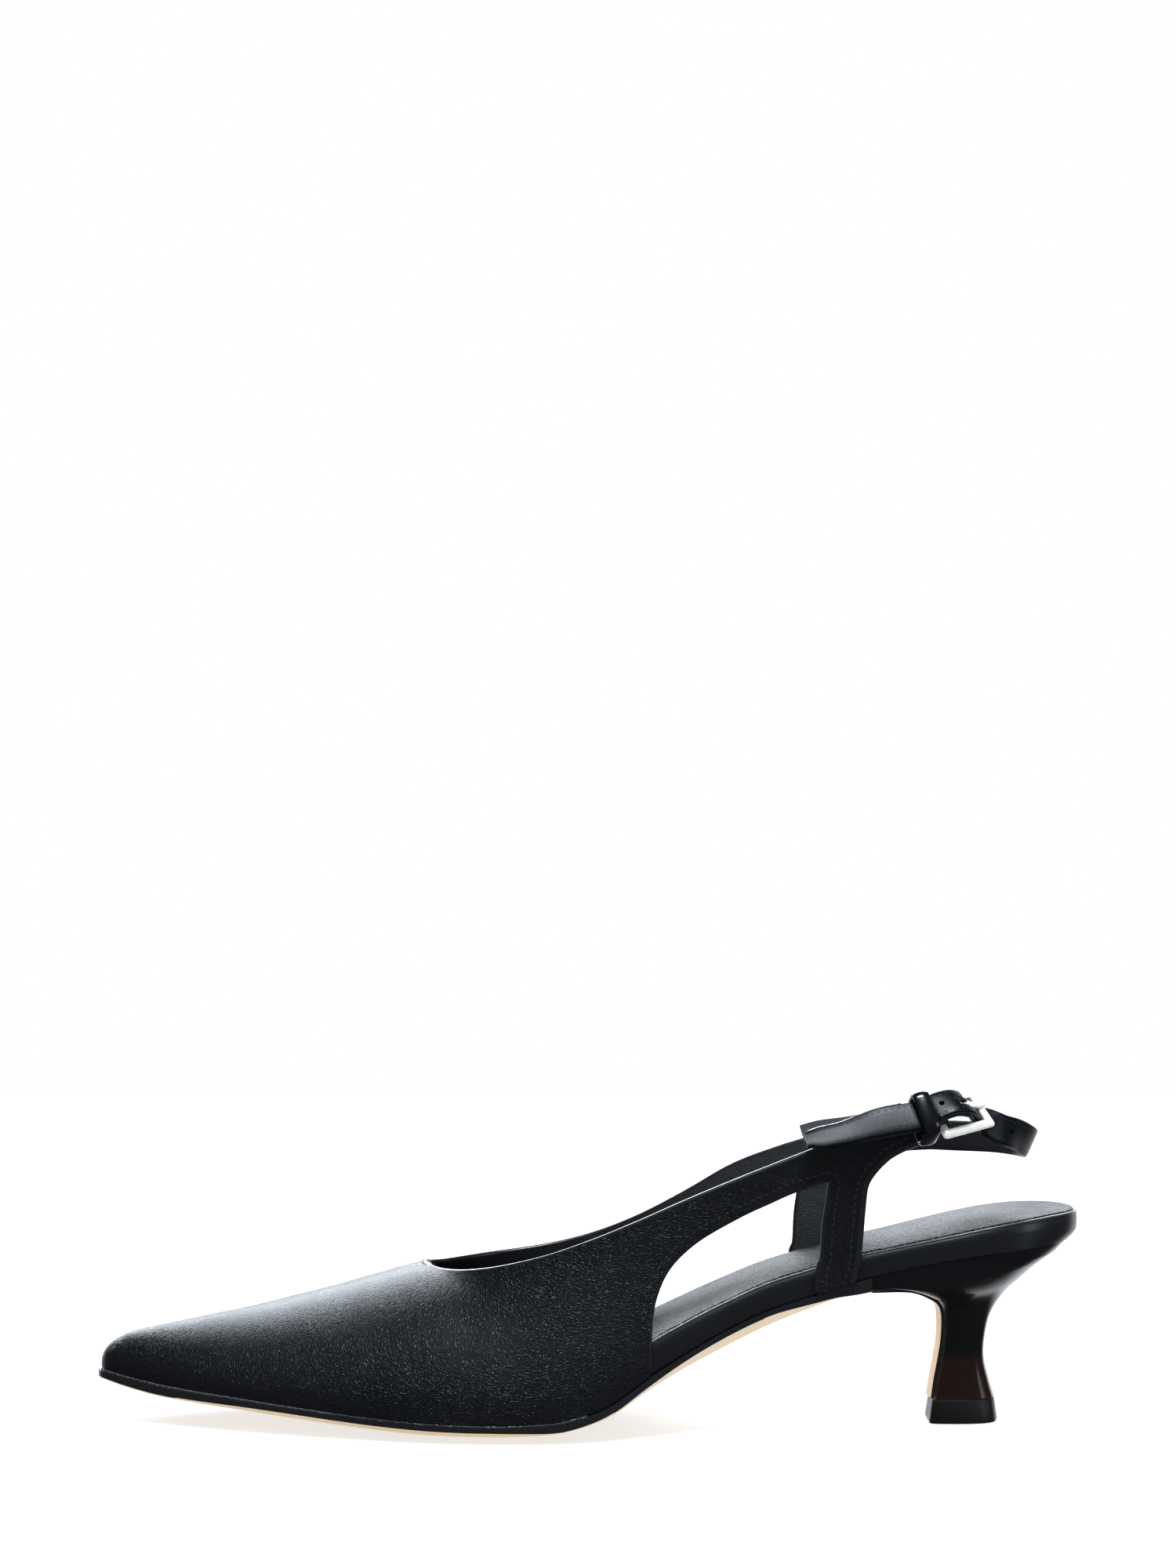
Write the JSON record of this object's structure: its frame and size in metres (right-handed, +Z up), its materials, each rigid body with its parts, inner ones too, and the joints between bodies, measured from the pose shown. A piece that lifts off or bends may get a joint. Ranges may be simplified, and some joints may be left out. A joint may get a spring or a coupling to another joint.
{
  "type": "slingback pump",
  "caption": "Pointed-toe slingback pump for a left foot, with cut-out sides, a kitten heel and a buckled strap behind the heel.",
  "frame": {"origin": "centre of the shoe's bounding box, on the floor", "axes": "+X from the toe to the heel, +Y to the inner side of the foot, +Z up"},
  "size_m": [0.2582, 0.075, 0.089],
  "materials": {
    "sole_leather": "smooth, natural",
    "rim_leather": "satin black",
    "sock_leather": "satin dark grey",
    "black_leather": "fine grain, soft satin black",
    "heel_lacquer": "gloss black",
    "lift_rubber": "matt black",
    "strap_lining": "matt black",
    "buckle_metal": "polished pale metal"
  },
  "bodies": {
    "root": {"outsole": "sole_leather", "insole_board": "rim_leather", "sock": "sock_leather", "upper": "black_leather", "heel": "heel_lacquer", "top_lift": "lift_rubber", "buckle_strap": "black_leather", "sling_strap": "black_leather", "sling_lining": "strap_lining", "keeper": "black_leather", "buckle_frame": "buckle_metal", "buckle_prong": "buckle_metal"}
  },
  "joints": []
}
